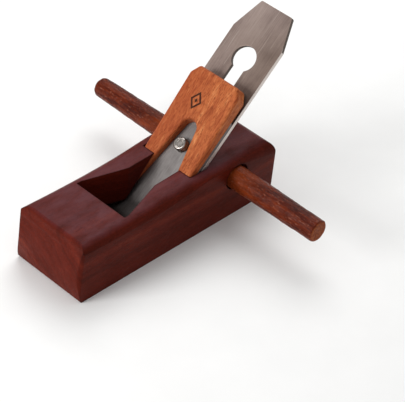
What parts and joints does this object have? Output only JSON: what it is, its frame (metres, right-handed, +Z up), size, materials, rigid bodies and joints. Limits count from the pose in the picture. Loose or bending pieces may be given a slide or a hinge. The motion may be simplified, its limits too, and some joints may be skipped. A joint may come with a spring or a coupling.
{
  "type": "wooden hand plane",
  "caption": "Small wooden smoothing plane: block body with a round cross handle, steel iron and cap iron held at a slope by a forked wedge.",
  "frame": {"origin": "centre of the flat sole of the body", "axes": "+X forward to the toe, +Y to the left along the cross handle, +Z up out of the sole"},
  "size_m": [0.2024, 0.209, 0.1278],
  "materials": {
    "stock_wood": "oiled dark rosewood, hand shaped",
    "handle_wood": "oiled red-brown rosewood, turned",
    "iron_steel": "ground tool steel",
    "cap_steel": "ground steel",
    "screw_steel": "bright zinc-plated steel",
    "wedge_wood": "oiled orange-brown hardwood"
  },
  "bodies": {
    "stock": {"stock": "stock_wood"},
    "handle": {"cross_handle": "handle_wood"},
    "iron": {"plane_iron": "iron_steel"},
    "cap": {"cap_iron": "cap_steel"},
    "screw": {"cap_screw": "screw_steel"},
    "wedge": {"wedge": "wedge_wood"}
  },
  "joints": [
    {"name": "iron_slide", "type": "slide", "parent": "stock", "child": "iron", "axis": [-0.7193, 0, 0.6947], "range_m": [-0.0006, 0.05]},
    {"name": "cap_slide", "type": "slide", "parent": "iron", "child": "cap", "axis": [-0.7193, 0, 0.6947], "range_m": [-0.0004, 0.015]},
    {"name": "screw_turn", "type": "hinge", "parent": "cap", "child": "screw", "pos_m": [-0.02933, 0, 0.05092], "axis": [-0.6947, 0, -0.7193], "range_deg": [0, 180]},
    {"name": "wedge_slide", "type": "slide", "parent": "cap", "child": "wedge", "axis": [-0.7193, 0, 0.6947], "range_m": [0, 0.05]},
    {"name": "handle_slide", "type": "slide", "parent": "stock", "child": "handle", "axis": [0, 1, 0], "range_m": [-0.012, 0.012]}
  ]
}
